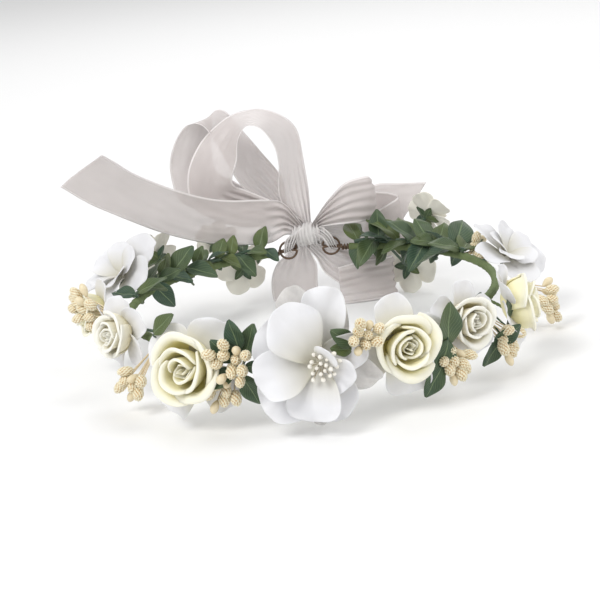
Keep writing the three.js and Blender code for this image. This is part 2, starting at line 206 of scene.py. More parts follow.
def uv_parts(tree):
    """The two parts of a piece's own UV map: across it, and along it."""
    uv = node(tree, "ShaderNodeUVMap", uv_map="UVMap")
    parts = node(tree, "ShaderNodeSeparateXYZ")
    wire(tree, uv.outputs["UV"], parts.inputs["Vector"])
    return parts.outputs["X"], parts.outputs["Y"]


def around(angle, radius, height):
    """A point by its angle from the front, radius and height over the hoop, in millimetres."""
    turn = math.radians(angle)
    return Vector((radius * MM * math.sin(turn), -radius * MM * math.cos(turn), HOOP_HEIGHT + height * MM))


def direction(facing, tilt):
    turn = math.radians(facing)
    rise = math.radians(tilt)
    return Vector((
        math.sin(turn) * math.cos(rise),
        -math.cos(turn) * math.cos(rise),
        math.sin(rise),
    ))


def aimed(place, toward, roll=0.0):
    """A frame whose +Z looks along a direction and whose +Y is as upright as it can be."""
    forward = toward.normalized()
    guide = Vector((0, 1, 0)) if abs(forward.z) > 0.97 else Vector((0, 0, 1))
    side = guide.cross(forward).normalized()
    upward = forward.cross(side)
    turned = Matrix((
        (side.x, upward.x, forward.x, place.x),
        (side.y, upward.y, forward.y, place.y),
        (side.z, upward.z, forward.z, place.z),
        (0, 0, 0, 1),
    ))
    return turned @ Matrix.Rotation(math.radians(roll), 4, "Z")


def grid_sheet(columns, rows, place, thickness, rounds=1):
    """A cloth or foam patch: a flat grid whose every corner is moved to place(across, along)."""
    bpy.ops.mesh.primitive_grid_add(x_subdivisions=columns, y_subdivisions=rows, size=2)
    patch = bpy.context.active_object
    for corner in patch.data.vertices:
        corner.co = place(corner.co.x, (corner.co.y + 1) / 2)
    wall = patch.modifiers.new("wall", "SOLIDIFY")
    wall.thickness = thickness
    wall.offset = 0
    bpy.ops.object.modifier_apply(modifier="wall")
    if rounds:
        smooth = patch.modifiers.new("smooth", "SUBSURF")
        smooth.levels = rounds
        smooth.render_levels = rounds
        bpy.ops.object.modifier_apply(modifier="smooth")
    bpy.ops.object.shade_smooth()
    return patch


def one_piece(name, parts, finish, body, nodes, bend=None):
    """Joins the parts into one named piece that stands for its CAD nodes. With a bend, the piece only has
    its transform baked in and is not attached to its body; the bend's points are not used."""
    bpy.ops.object.select_all(action="DESELECT")
    for part in parts:
        part.select_set(True)
    bpy.context.view_layer.objects.active = parts[0]
    if len(parts) > 1:
        bpy.ops.object.join()
    piece = bpy.context.active_object
    piece.name = name
    piece.data.name = name
    piece.data.materials.clear()
    piece.data.materials.append(finish)
    bpy.ops.object.select_all(action="DESELECT")
    if bend:
        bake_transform(piece)
    else:
        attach(piece, body)
    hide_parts(*nodes)
    return piece


def foam_finish(name, low, high, deep, shade, pale, scatter):
    """Soft foam sheet: mottled, grained and lit through, and deeper in colour toward its root."""
    finish, tree, shader = new_finish(name, 0.75)
    depth = ranged(tree, uv_parts(tree)[1], low, high)
    spots = use_group(tree, mottle_group, Scale=260.0)
    wire(
        tree,
        mixed(tree, depth, deep, mixed(tree, spots.outputs["Mask"], shade, pale)),
        shader.inputs["Base Color"],
    )
    shader.inputs["Subsurface Weight"].default_value = 0.35
    shader.inputs["Subsurface Scale"].default_value = 0.003
    shader.inputs["Subsurface Radius"].default_value = scatter
    grain = use_group(tree, mottle_group, Scale=3000.0)
    bumped(tree, shader, grain.outputs["Mask"], 0.25, 0.0002)
    return finish


foam_ivory = foam_finish(
    "foam_ivory", 0.35, 0.85,
    (0.90, 0.83, 0.47), (0.86, 0.83, 0.67), (0.89, 0.87, 0.75), (1, 0.95, 0.8),
)
foam_white = foam_finish(
    "foam_creamy_white", 0.3, 0.8,
    (0.80, 0.72, 0.48), (0.85, 0.83, 0.73), (0.88, 0.87, 0.80), (1, 0.97, 0.9),
)


# The foam's thickness, as a share of the rose's width.
PETAL_FOAM = 0.038
BUD_FOAM = 0.022
WALL_SHARE = 0.62


def rose_petal(frame_of, size, ring_radius, turn, half_angle, base, top, curl, roll_radius):
    """One petal: a cup wall that rises from the base and rolls outward at its rim.
    One side tucks in under its neighbour and the other lies over the next."""

    def place(across, along):
        rim = 1 - 0.20 * abs(across) ** 2.5 - 0.05 * math.cos(3 * across + turn)
        height = base + (top - base) * rim
        wall = min(along / WALL_SHARE, 1.0)
        rolled = max(along - WALL_SHARE, 0.0) / (1 - WALL_SHARE) * curl * (1 - 0.35 * across * across)
        out = ring_radius * math.sin(wall * math.pi / 2) ** 0.6 * (1 + 0.13 * across)
        out += roll_radius * (1 - math.cos(rolled))
        up = base + (height - base) * wall ** 1.25
        up += roll_radius * math.sin(rolled)
        angle = turn + across * half_angle
        sway = 1 + 0.07 * math.sin(2 * angle + 5 * turn) + 0.02 * math.sin(7 * angle)
        out *= sway
        return frame_of @ (Vector((out * math.cos(angle), out * math.sin(angle), up)) * size)
    return grid_sheet(11, 12, place, PETAL_FOAM * size)


def rose_bud(frame_of, size, turns, base, top):
    """The tight roll in the middle: a strip that winds out from the axis."""

    def place(across, along):
        wind = (across + 1) / 2
        angle = turns * 2 * math.pi * wind
        out = (0.03 + 0.095 * wind) * (0.75 + 0.25 * along)
        rim = top - 0.05 * math.cos(3 * angle) - 0.04 * wind
        up = base + (rim - base) * along
        return frame_of @ (Vector((out * math.cos(angle), out * math.sin(angle), up)) * size)
    return grid_sheet(40, 5, place, BUD_FOAM * size)


ROSES = [
    {"angle": -93, "radius": 109, "height": 1, "size": 24, "facing": -82, "tilt": 8, "white": False},
    {"angle": -66, "radius": 103, "height": 2, "size": 24, "facing": -50, "tilt": 4, "white": True},
    {"angle": -33, "radius": 108, "height": -3, "size": 34, "facing": -26, "tilt": 10, "white": False},
    {"angle": 20.5, "radius": 107, "height": 0, "size": 31, "facing": 20, "tilt": 8, "white": False},
    {"angle": 42, "radius": 103, "height": 1, "size": 25, "facing": 34, "tilt": 8, "white": True},
    {"angle": 64, "radius": 107, "height": -1, "size": 28, "facing": 84, "tilt": 12, "white": False},
]

RINGS = [
    # petals, radius, half angle, top, curl, roll
    (2, 0.16, 1.6, 0.225, 0.9, 0.04),
    (3, 0.26, 1.35, 0.215, 1.5, 0.055),
    (4, 0.37, 1.15, 0.09, 2.1, 0.075),
]
PETAL_BASE = -0.34

for number, rose in enumerate(ROSES, 1):
    draw = random.Random(number)
    size = rose["size"] * MM
    centre = around(rose["angle"], rose["radius"], rose["height"])
    rose_frame = aimed(centre, direction(rose["facing"], rose["tilt"]), 50 * number)
    parts = [rose_bud(rose_frame, size, 1.6, -0.2, 0.21)]
    start = draw.uniform(0, 6.28)
    for petals, ring, half, top, curl, roll_radius in RINGS:
        start += 0.9
        for i in range(petals):
            turn = start + i * 2 * math.pi / petals + draw.uniform(-0.12, 0.12)
            parts.append(rose_petal(
                rose_frame, size, ring * draw.uniform(0.95, 1.04), turn, half,
                PETAL_BASE, top + draw.uniform(-0.03, 0.03), curl * draw.uniform(0.8, 1.15), roll_radius,
            ))
    finish = foam_white if rose["white"] else foam_ivory
    one_piece(f"rose_{number}_foam", parts, finish, "crown", [f"rose_{number}_head"])


# Fabric rose collars. Four or five round petals of white cotton sateen stand behind each foam
# head, stamped from one layer and pressed into shallow cups.

# Woven cloth: crossing threads as a height, from Object coordinates.
cloth_group, cloth_in, cloth_out = new_group(
    "cloth_weave",
    [("Threads", "NodeSocketFloat", 2500.0)],
    [("Height", "NodeSocketFloat")],
)
cloth_place = node(cloth_group, "ShaderNodeTexCoord")
warp = node(cloth_group, "ShaderNodeTexWave", bands_direction="X")
weft = node(cloth_group, "ShaderNodeTexWave", bands_direction="Z")
threads = node(cloth_group, "ShaderNodeMath", operation="MAXIMUM")
for wave in (warp, weft):
    wave.inputs["Distortion"].default_value = 1.5
    wave.inputs["Detail"].default_value = 1.0
    wire(cloth_group, cloth_place.outputs["Object"], wave.inputs["Vector"])
    wire(cloth_group, cloth_in.outputs["Threads"], wave.inputs["Scale"])
wire(cloth_group, warp.outputs["Fac"], threads.inputs[0])
wire(cloth_group, weft.outputs["Fac"], threads.inputs[1])
wire(cloth_group, threads.outputs[0], cloth_out.inputs["Height"])

WEAVE = 1100.0

white_cloth, cloth_tree, cloth_shader = new_finish("white_petal_cloth", 0.7)
cloth_clouds = use_group(cloth_tree, mottle_group, Scale=90.0)
cloth_tone = mixed(
    cloth_tree, cloth_clouds.outputs["Mask"], (0.735, 0.735, 0.765), (0.80, 0.80, 0.815),
)
# Painted shade: toward each petal's root the cloth is darkened to a greenish beige, for the shade in the
# heart of the flower.
painted_heart_shade = ranged(cloth_tree, uv_parts(cloth_tree)[1], 0.05, 0.75)
cloth_tone_and_painted_shade = mixed(cloth_tree, painted_heart_shade, (0.60, 0.575, 0.47), cloth_tone)
wire(cloth_tree, cloth_tone_and_painted_shade, cloth_shader.inputs["Base Color"])
cloth_shader.inputs["Sheen Weight"].default_value = 0.25
cloth_shader.inputs["Subsurface Weight"].default_value = 0.25
cloth_shader.inputs["Subsurface Scale"].default_value = 0.002
cloth_shader.inputs["Subsurface Radius"].default_value = (1, 1, 1)
cloth_weave = use_group(cloth_tree, cloth_group, Threads=WEAVE)
bumped(cloth_tree, cloth_shader, cloth_weave.outputs["Height"], 0.2, 0.0001)

PETAL_CLOTH = 0.35 * MM
SHINGLE = 0.22
COLLAR_BACK = 0.30


def fabric_petal(
    frame_of, turn, length, width, lift, curl, cup, ruffle, seed, point=0.0, cells=12,
):
    """One stamped petal: a rounded patch that leaves the middle at the lift angle and curls back.
    One side is higher than the other, so the petals of a layer overlap in turn."""
    turned = frame_of @ Matrix.Rotation(turn, 4, "Z")

    def place(across, along):
        down = 2 * along - 1
        side = across * math.sqrt(1 - down * down / 2)
        reach = (down * math.sqrt(1 - across * across / 2) + 1) / 2
        rim = max(across * across, down * down)
        spread = 0.38 + 0.62 * reach ** 0.8 - point * reach ** 3
        wide = side * width / 2 * spread * (1 + 0.05 * math.sin(9 * reach + seed))
        far = length * (reach * math.cos(lift) + 0.5 * reach * reach * curl * math.sin(lift))
        far *= 1 - 0.06 * abs(side) * math.cos(5 * side + seed)
        high = length * (reach * math.sin(lift) - 0.5 * curl * reach * reach)
        high += width * 0.5 * spread * side * (cup * side + SHINGLE)
        crease = noise.noise(Vector((3 * side + seed, 2.2 * reach, seed * 1.7)))
        high += length * (0.05 * crease * reach + ruffle * rim ** 3 * math.sin(6 * side + 4 * reach + seed))
        return turned @ Vector((far, wide, high))
    return grid_sheet(cells, cells, place, PETAL_CLOTH)


for number, rose in enumerate(ROSES, 1):
    size = rose["size"] * MM
    toward = direction(rose["facing"], rose["tilt"])
    back = around(rose["angle"], rose["radius"], rose["height"]) - COLLAR_BACK * size * toward
    collar_frame = aimed(back, toward, 25 + 40 * number)
    petals = 4 if size > 0.03 else 5
    parts = [
        fabric_petal(
            collar_frame, i * 2 * math.pi / petals, 0.74 * size, 0.86 * size, 0.16,
            curl=0.15, cup=0.3, ruffle=0.035, seed=number + 2.3 * i,
        )
        for i in range(petals)
    ]
    one_piece(
        f"rose_{number}_petal_collar", parts, white_cloth, "crown",
        [f"rose_{number}_collar"],
    )


# The large front flower. Heavy white petals overlap in two layers round a tuft of pearl-tipped
# stamens, and a looser sheer layer shows behind them. No two petals are alike.

big_toward = direction(4, 10)
big_centre = around(-1.2, 108, 0)


def flower_layer(offset, petals, seed):
    """Petals of one layer: each by its turn in degrees, length, width, lift and curl."""
    layer_frame = aimed(big_centre + offset * MM * big_toward, big_toward)
    return [
        fabric_petal(
            layer_frame, math.radians(turn), length * MM, width * MM, lift, curl=curl,
            cup=0.32, ruffle=0.045, point=point, seed=seed + 1.7 * i, cells=16,
        )
        for i, (turn, length, width, lift, curl, point) in enumerate(petals)
    ]


inner_petals = flower_layer(1, [
    (118, 30, 33, 0.50, 0.45, 0.0),
    (188, 28, 30, 0.50, 0.50, 0.0),
    (258, 26, 30, 0.50, 0.50, 0.0),
    (322, 20, 20, 0.65, 0.30, 0.0),
    (38, 19, 17, 1.05, -0.25, 0.15),
], 3)
one_piece(
    "big_flower_inner_layer", inner_petals, white_cloth, "crown",
    ["big_flower_inner_petals"],
)
outer_petals = flower_layer(-4, [
    (76, 33, 28, 0.32, 0.35, 0.0),
    (150, 28, 29, 0.30, 0.40, 0.0),
    (222, 31, 32, 0.34, 0.45, 0.0),
    (290, 28, 28, 0.34, 0.45, 0.0),
    (10, 24, 24, 0.40, 0.30, 0.2),
], 5)
one_piece(
    "big_flower_outer_layer", outer_petals, white_cloth, "crown",
    ["big_flower_outer_petals"],
)

sheer_cloth, sheer_tree, sheer_shader = new_finish("sheer_petal_cloth", 0.45)
sheer_clouds = use_group(sheer_tree, mottle_group, Scale=150.0)
wire(
    sheer_tree,
    mixed(sheer_tree, sheer_clouds.outputs["Mask"], (0.70, 0.68, 0.66), (0.84, 0.82, 0.80)),
    sheer_shader.inputs["Base Color"],
)
wire(
    sheer_tree,
    ranged(sheer_tree, sheer_clouds.outputs["Mask"], 0.3, 0.7, 0.55, 0.8),
    sheer_shader.inputs["Alpha"],
)
sheer_shader.inputs["Sheen Weight"].default_value = 0.4
sheer_petals = flower_layer(-7, [
    (338, 31, 24, 0.20, 0.1, 0.5),
    (58, 28, 24, 0.15, 0.1, 0.4),
    (104, 34, 26, 0.10, 0.1, 0.3),
    (196, 27, 26, 0.12, 0.1, 0.4),
    (268, 29, 26, 0.12, 0.1, 0.4),
], 8)
one_piece(
    "big_flower_sheer_layer", sheer_petals, sheer_cloth, "crown",
    ["big_flower_sheer_petals"],
)


# Stamens. Stiff white threads fan out of the flower's throat, in a tuft that is bound at its
# foot. Each is dipped in pearl paint, which dries to a bead at its tip.

def thread(points, radius, sides=6):
    """A round thread or wire along the points, as a mesh with closed ends."""
    curve = bpy.data.curves.new("thread", "CURVE")
    curve.dimensions = "3D"
    curve.bevel_depth = radius
    curve.bevel_resolution = max(0, (sides - 4) // 2)
    curve.use_fill_caps = True
    curve.resolution_u = 4
    line = curve.splines.new("NURBS")
    line.points.add(len(points) - 1)
    for spot, point in zip(line.points, points):
        spot.co = (*point, 1)
    line.use_endpoint_u = True
    line.order_u = 3
    made = bpy.data.objects.new("thread", curve)
    bpy.context.collection.objects.link(made)
    bpy.ops.object.select_all(action="DESELECT")
    made.select_set(True)
    bpy.context.view_layer.objects.active = made
    bpy.ops.object.convert(target="MESH")
    return bpy.context.active_object


def bead(place, radius, stretch, toward):
    """A small pearl at a point, drawn out along a direction."""
    bpy.ops.mesh.primitive_uv_sphere_add(segments=10, ring_count=7, radius=radius)
    made = bpy.context.active_object
    lie = aimed(place, toward) @ Matrix.Scale(stretch, 4, (0, 0, 1))
    made.data.transform(lie)
    bpy.ops.object.shade_smooth()
    return made


def marked(tree, name):
    """The number that mark() stored at each corner of a piece."""
    stored = node(tree, "ShaderNodeAttribute", attribute_name=name)
    return stored.outputs["Fac"]


def mark(part, name, values):
    """Stores a number at each corner of a part, for its material to read."""
    layer = part.data.attributes.new(name, "FLOAT", "POINT")
    layer.data.foreach_set("value", values)
    return part


def evenly_marked(part, name, value):
    return mark(part, name, [value] * len(part.data.vertices))


pearl, pearl_tree, pearl_shader = new_finish("stamen_pearl", 0.28)
pearl_clouds = use_group(pearl_tree, mottle_group, Scale=900.0)
pearl_tone = mixed(pearl_tree, pearl_clouds.outputs["Mask"], (0.80, 0.76, 0.66), (0.92, 0.90, 0.84))
pearl_colour = mixed(pearl_tree, marked(pearl_tree, "pearl"), (0.42, 0.33, 0.20), pearl_tone)
wire(pearl_tree, pearl_colour, pearl_shader.inputs["Base Color"])
pearl_shader.inputs["Coat Weight"].default_value = 0.6
bumped(pearl_tree, pearl_shader, pearl_clouds.outputs["Mask"], 0.2, 0.0001)

draw = random.Random(7)
throat = big_centre + 2 * MM * big_toward + 2.5 * MM * level_right - 1 * MM * level_up
throat_frame = aimed(throat, big_toward)
STAMENS = 22
THROAT = 7.4
parts = []
for i in range(STAMENS):
    turn = 2.4 * i
    reach = THROAT * math.sqrt((i + 0.5) / STAMENS) * draw.uniform(0.85, 1.1)
    high = 9.5 - 2.5 * (reach / THROAT) ** 2 + draw.uniform(-1.6, 1.2)
    tip = Vector((reach * math.cos(turn), reach * math.sin(turn), high)) * MM
    heel = Vector((0.2 * tip.x, 0.2 * tip.y, 0))
    knee = Vector((0.75 * tip.x, 0.75 * tip.y, 0.55 * tip.z))
    heel, knee, tip = [throat_frame @ spot for spot in (heel, knee, tip)]
    parts.append(evenly_marked(thread([heel, knee, tip], 0.17 * MM), "pearl", 0.0))
    parts.append(evenly_marked(bead(tip, draw.uniform(0.85, 1.15) * MM, 1.25, tip - knee), "pearl", 1.0))
one_piece("pearl_stamens", parts, pearl, "crown", ["big_flower_stamens"])


# Fabric flowers at the ends of the arc, white, and along the back, cream. Each is two layers of
# round petals, with a green calyx of pointed sepals under it.

cream_cloth, cream_tree, cream_shader = new_finish("cream_petal_cloth", 0.75)
cream_clouds = use_group(cream_tree, mottle_group, Scale=110.0)
cream_tone = mixed(cream_tree, cream_clouds.outputs["Mask"], (0.82, 0.79, 0.70), (0.87, 0.85, 0.77))
# Painted shade: toward each petal's root the cream cloth is darkened, for the shade in the heart of the
# flower.
cream_painted_shade = ranged(cream_tree, uv_parts(cream_tree)[1], 0.0, 0.3)
cream_tone_and_painted_shade = mixed(cream_tree, cream_painted_shade, (0.72, 0.69, 0.54), cream_tone)
wire(cream_tree, cream_tone_and_painted_shade, cream_shader.inputs["Base Color"])
cream_shader.inputs["Sheen Weight"].default_value = 0.25
cream_weave = use_group(cream_tree, cloth_group, Threads=WEAVE)
bumped(cream_tree, cream_shader, cream_weave.outputs["Height"], 0.2, 0.0001)

leaf_green, leaf_tree, leaf_shader = new_finish("leaf_cloth", 0.5)
leaf_cross, leaf_up = uv_parts(leaf_tree)
VEIN_SLOPE = -1.1
VEIN_COUNT = 52.0


def leaf_math(operation, *terms):
    """A sum on the leaf's sockets and numbers."""
    made = node(leaf_tree, "ShaderNodeMath", operation=operation)
    for term, socket in zip(terms, made.inputs):
        if isinstance(term, float):
            socket.default_value = term
        else:
            wire(leaf_tree, term, socket)
    return made.outputs[0]


rib_gap = leaf_math("ABSOLUTE", leaf_math("SUBTRACT", leaf_cross, 0.5))
vein_line = leaf_math("MULTIPLY_ADD", rib_gap, VEIN_SLOPE, leaf_up)
vein_wave = leaf_math("SINE", leaf_math("MULTIPLY", vein_line, VEIN_COUNT))
side_vein = leaf_math("MULTIPLY", ranged(leaf_tree, vein_wave, 0.75, 1.0), 0.35)
veins = leaf_math("MAXIMUM", side_vein, ranged(leaf_tree, rib_gap, 0.035, 0.0))
leaf_patches = use_group(leaf_tree, mottle_group, Scale=70.0)
patch_tone = ranged(leaf_tree, leaf_patches.outputs["Mask"], 0.3, 0.7, -0.25, 0.25)
leaf_tint = ranged(leaf_tree, leaf_math("ADD", marked(leaf_tree, "tone"), patch_tone), 0.0, 1.0)
leaf_hue = mixed(leaf_tree, leaf_tint, (0.016, 0.055, 0.03), (0.085, 0.115, 0.018))
leaf_speckle = use_group(leaf_tree, mottle_group, Scale=1500.0)
speckle = ranged(leaf_tree, leaf_speckle.outputs["Mask"], 0.3, 0.8, 0.0, 0.35)
leaf_tone = mixed(leaf_tree, speckle, leaf_hue, (0.075, 0.11, 0.06))
leaf_colour = mixed(leaf_tree, veins, leaf_tone, (0.19, 0.26, 0.12))
wire(leaf_tree, leaf_colour, leaf_shader.inputs["Base Color"])
bumped(leaf_tree, leaf_shader, veins, 0.6, 0.0002)
leaf_shader.inputs["Sheen Weight"].default_value = 0.15

LEAF_CLOTH = 0.3 * MM


def leaf(root, toward, up, length, width, tone, droop, fold=0.3, twist=0.0):
    """A pointed leaf pressed into a fold along its midrib, bending down toward its tip."""
    forward = toward.normalized()
    side = forward.cross(up).normalized()
    lift = side.cross(forward)

    def place(across, along):
        shape = math.sin(math.pi * min(1.0, along * 0.97 + 0.015) ** 0.85) ** 0.85
        half = width / 2 * shape + 0.15 * MM
        wide = across * half
        high = fold * abs(wide) - droop * length * along * along
        high += 0.03 * length * math.sin(9 * along + 3 * across)
        turn = twist * along
        return (
            root + forward * length * along * (1 - 0.15 * droop * along)
            + side * (wide * math.cos(turn)) + lift * (high + wide * math.sin(turn))
        )
    return evenly_marked(grid_sheet(6, 11, place, LEAF_CLOTH), "tone", tone)


FABRIC_FLOWERS = [
    # name, white or cream, angle, radius, height, size, facing, tilt
    ("left_flower", True, -117, 106, 6, 40, -55, 50),
    ("right_flower", True, 110, 106, -1, 36, 55, 50),
    ("back_flower_1", False, -135, 112, 7, 24, -140, 20),
    ("back_flower_2", False, -161, 109, -10, 24, -160, -12),
    ("back_flower_3", False, -155, 113, 7, 20, -160, 25),
    ("back_flower_4", False, 151, 112, -17, 25, 160, -14),
    ("back_flower_5", False, 145, 116, 10, 22, 140, 20),
]

for order, (name, white, angle, radius, height, across, facing, tilt) in enumerate(FABRIC_FLOWERS):
    size = across * MM
    toward = direction(facing, tilt)
    centre = around(angle, radius, height)
    parts = []
    for layer, (share, lift) in enumerate(((1.0, 0.42), (0.72, 0.8))):
        layer_frame = aimed(centre + layer * 0.05 * size * toward, toward, 25 * order + 36 * layer)
        parts += [
            fabric_petal(
                layer_frame, i * 2 * math.pi / 5, 0.61 * share * size, 0.68 * share * size, lift,
                curl=0.5, cup=0.22, ruffle=0.03, seed=order + 1.9 * i + layer,
            )
            for i in range(5)
        ]
    finish = white_cloth if white else cream_cloth
    one_piece(f"{name}_petal_layers", parts, finish, "crown", [f"{name}_petals"])

    root = around(angle, HOOP_RADIUS / MM, 0)
    seat = centre - 1.4 * MM * toward
    parts = [thread([root, root.lerp(seat, 0.6), seat - 3 * MM * toward, seat], 0.75 * MM, 8)]
    sepal_frame = aimed(seat, toward)
    for i in range(5):
        turn = i * 2 * math.pi / 5 + order
        outward = sepal_frame.to_3x3() @ Vector((math.cos(turn), math.sin(turn), 0.35))
        parts.append(leaf(
            seat - 1.2 * MM * toward, outward, toward, 8 * MM, 4.2 * MM, tone=0.2 * i, droop=0.1,
        ))
    one_piece(f"{name}_green_calyx", parts, leaf_green, "crown", [f"{name}_calyx"])


# Berry sprays. Wires tipped with two kinds of berry: sugared heads crusted in tiny pale beads
# over gold, and smooth glittered buds. Each bundle is taped to the hoop at one point.

berry_gold, berry_tree, berry_shader = new_finish("sugared_gold", 0.4)
berry_clouds = use_group(berry_tree, mottle_group, Scale=420.0)
on_bead = ranged(berry_tree, marked(berry_tree, "bead"), 0.05, 0.55)
gap_tone = mixed(berry_tree, berry_clouds.outputs["Mask"], (0.50, 0.24, 0.05), (0.60, 0.42, 0.18))
bead_tone = mixed(berry_tree, berry_clouds.outputs["Mask"], (0.78, 0.70, 0.46), (0.90, 0.85, 0.67))
wire(berry_tree, mixed(berry_tree, on_bead, gap_tone, bead_tone), berry_shader.inputs["Base Color"])
berry_glitter = use_group(berry_tree, mottle_group, Scale=2600.0)
bumped(berry_tree, berry_shader, berry_glitter.outputs["Mask"], 0.5, 0.0002)
berry_shader.inputs["Coat Weight"].default_value = 0.2

BERRY_BEADS = 60
BEAD_EDGE = 0.976
bead_ways = []
for i in range(BERRY_BEADS):
    rise = 1 - 2 * (i + 0.5) / BERRY_BEADS
    flat = math.sqrt(1 - rise * rise)
    bead_ways.append(Vector((flat * math.cos(2.4 * i), flat * math.sin(2.4 * i), rise)))

bpy.ops.mesh.primitive_ico_sphere_add(subdivisions=4, radius=1)
sugared = bpy.context.active_object
swells = []
for corner in sugared.data.vertices:
    way = corner.co.normalized()
    nearest = max(way.dot(b) for b in bead_ways)
    swells.append(max(0.0, (nearest - BEAD_EDGE) / (1 - BEAD_EDGE)) ** 0.5)
    corner.co = way * (0.78 + 0.22 * swells[-1])
mark(sugared, "bead", swells)

bpy.ops.mesh.primitive_uv_sphere_add(segments=14, ring_count=10, radius=1)
smooth = bpy.context.active_object
for corner in smooth.data.vertices:
    narrow = 0.55 + 0.45 * math.sin(math.pi * (corner.co.z + 1) / 3)
    corner.co = Vector((corner.co.x * narrow, corner.co.y * narrow, corner.co.z))
evenly_marked(smooth, "bead", 0.42)


def berry(pattern, place, toward, length, diameter):
    """A copy of a berry pattern, drawn out to its size along a direction."""
    bpy.ops.object.select_all(action="DESELECT")
    pattern.select_set(True)
    bpy.context.view_layer.objects.active = pattern
    bpy.ops.object.duplicate()
    made = bpy.context.active_object
    made.data.transform(
        aimed(place, toward) @ Matrix.Diagonal((diameter / 2, diameter / 2, length / 2, 1))
    )
    bpy.ops.object.shade_smooth()
    return made


SPRAYS = [
    {"angle": -82, "middle": (-90, 113, 5), "spread": 10, "count": 12, "facing": -65},
    {"angle": -54, "middle": (-55, 106, -17), "spread": 8, "count": 9, "facing": -45},
    {"angle": -21, "middle": (-20.5, 112, 3), "spread": 10, "count": 11, "facing": -20},
    {"angle": -24, "middle": (-24, 109, -12), "spread": 8, "count": 8, "facing": -24},
    {"angle": 12, "middle": (10, 114, 10), "spread": 7.5, "count": 9, "facing": 10},
    {"angle": 35, "middle": (34, 108, -14), "spread": 8, "count": 10, "facing": 32},
    {"angle": 54, "middle": (54, 108, -15), "spread": 8, "count": 9, "facing": 46},
    {"angle": 86, "middle": (92, 117, -18), "spread": 10, "count": 12, "facing": 70},
    {"angle": 121, "middle": (119, 102, 1), "spread": 7, "count": 8, "facing": 60},
]

for number, spray in enumerate(SPRAYS, 1):
    draw = random.Random(40 + number)
    root = around(spray["angle"], HOOP_RADIUS / MM, 0)
    outward = direction(spray["facing"], 0)
    side = Vector((0, 0, 1)).cross(outward)
    middle = around(*spray["middle"])
    parts = []
    for i in range(spray["count"]):
        turn = 2.4 * i
        reach = spray["spread"] * MM * math.sqrt((i + 0.5) / spray["count"])
        centre = (
            middle + side * reach * math.cos(turn) + Vector((0, 0, reach * math.sin(turn)))
            + outward * draw.uniform(-2.5, 2.5) * MM
        )
        way = (centre - root.lerp(middle, 0.6)).normalized()
        way = (way + Vector([draw.uniform(-0.2, 0.2) for _ in range(3)])).normalized()
        length = draw.uniform(6.8, 9.0) * MM
        if i % 4 == 3:
            parts.append(berry(smooth, centre, way, 0.9 * length, draw.uniform(3.8, 4.5) * MM))
        else:
            parts.append(berry(sugared, centre, way, length, draw.uniform(4.8, 5.6) * MM))
        heel = centre - way * length * 0.45
        stalk = thread([root, root.lerp(heel, 0.5) - way * 0.6 * MM, heel], 0.3 * MM)
        parts.append(evenly_marked(stalk, "bead", 0.35))
    one_piece(
        f"gold_berries_{number}", parts, berry_gold, "crown", [f"berry_spray_{number}"],
    )

for pattern in (sugared, smooth):
    bpy.data.objects.remove(pattern)


# Leafy vines along the back of the hoop, and single leaves between the roses. Fabric leaves on
# short wires leave a taped stem that follows the hoop.

def stem_line(start, end, out, up, wave, count=16):
    """Points of a stem that follows the hoop and winds a little round it."""
    return [
        around(
            start + (end - start) * i / count,
            HOOP_RADIUS / MM + out + wave * math.cos(1.4 * i),
            up + wave * math.sin(1.4 * i),
        )
        for i in range(count + 1)
    ]


def vine(name, start, end, count, length, width, seed):
    """Two twisted stems and the leaves that stand round them, longest in millimetres."""
    draw = random.Random(seed)
    parts = [
        thread(stem_line(start, end, 0, 3.2, 0.8), 0.9 * MM, 8),
        thread(stem_line(start, end, 0.6, 3.0, -1.3), 0.7 * MM, 8),
    ]
    for i in range(count):
        angle = start + (end - start) * (i + draw.uniform(0.2, 0.8)) / count
        root = around(angle, HOOP_RADIUS / MM, 3.2)
        outward = direction(angle, 0)
        lean = direction(angle + math.copysign(90, end - start), 0)
        turn = 2.399 * i + draw.uniform(-0.3, 0.3)
        rise = math.sin(turn)
        rise = rise if rise > 0 else 0.75 * rise
        way = outward * math.cos(turn) + Vector((0, 0, rise)) + lean * draw.uniform(0.1, 1.0)
        share = draw.uniform(0.6, 1.1)
        up = Vector((0, 0, 1)) + outward * draw.uniform(-0.4, 0.8) + direction(0, 0) * 0.6
        parts.append(leaf(
            root, way, up, length * share * MM, width * share * MM, tone=draw.uniform(-0.1, 1.0),
            droop=draw.uniform(0.0, 0.4), fold=draw.uniform(0.2, 0.5), twist=draw.uniform(-0.6, 0.6),
        ))
    one_piece(f"{name}_leaves", parts, leaf_green, "crown", [name])


vine("left_vine", -102, -166, 34, 17, 10.0, 3)
vine("right_vine", 117, 163, 30, 21, 12.5, 5)

FRONT_LEAVES = {
    # where the taped stem runs, then each blade: the place of its foot and of its tip, and its tone
    "left_leaves": ((-60, -18), [
        ((-37, -100, 1), (-47, -102, 12), 0.1),
        ((-34.5, -99, 6), (-38.5, -101, 20), 0.0),
        ((-32, -98, 3), (-28, -99, 17), 0.25),
        ((-38, -101, -2), (-50, -103, -9), 0.15),
        ((-33, -101, -1), (-24, -103, -3), 0.2),
        ((-34.5, -102, -5), (-28.5, -104, -19), 0.3),
        ((-73, -75, 10), (-64, -79, 20), 0.8),
    ]),
    "right_leaves": ((8, 60), [
        ((56, -89, -6), (60.5, -93, 15), 0.5),
        ((57, -91, -2), (51.5, -96, -20), 0.3),
        ((53, -94, -13), (45, -98, -26), 0.2),
        ((15, -107, 5), (6, -112, 14), 0.4),
        ((14, -107, 3), (5, -112, 6), 0.8),
        ((80.5, -63, -15), (93, -67, -7), 0.15),
        ((83.5, -63, -13), (75, -67, -25), 0.1),
        ((88, -56, -9), (89.5, -60, 4), 0.2),
    ]),
}
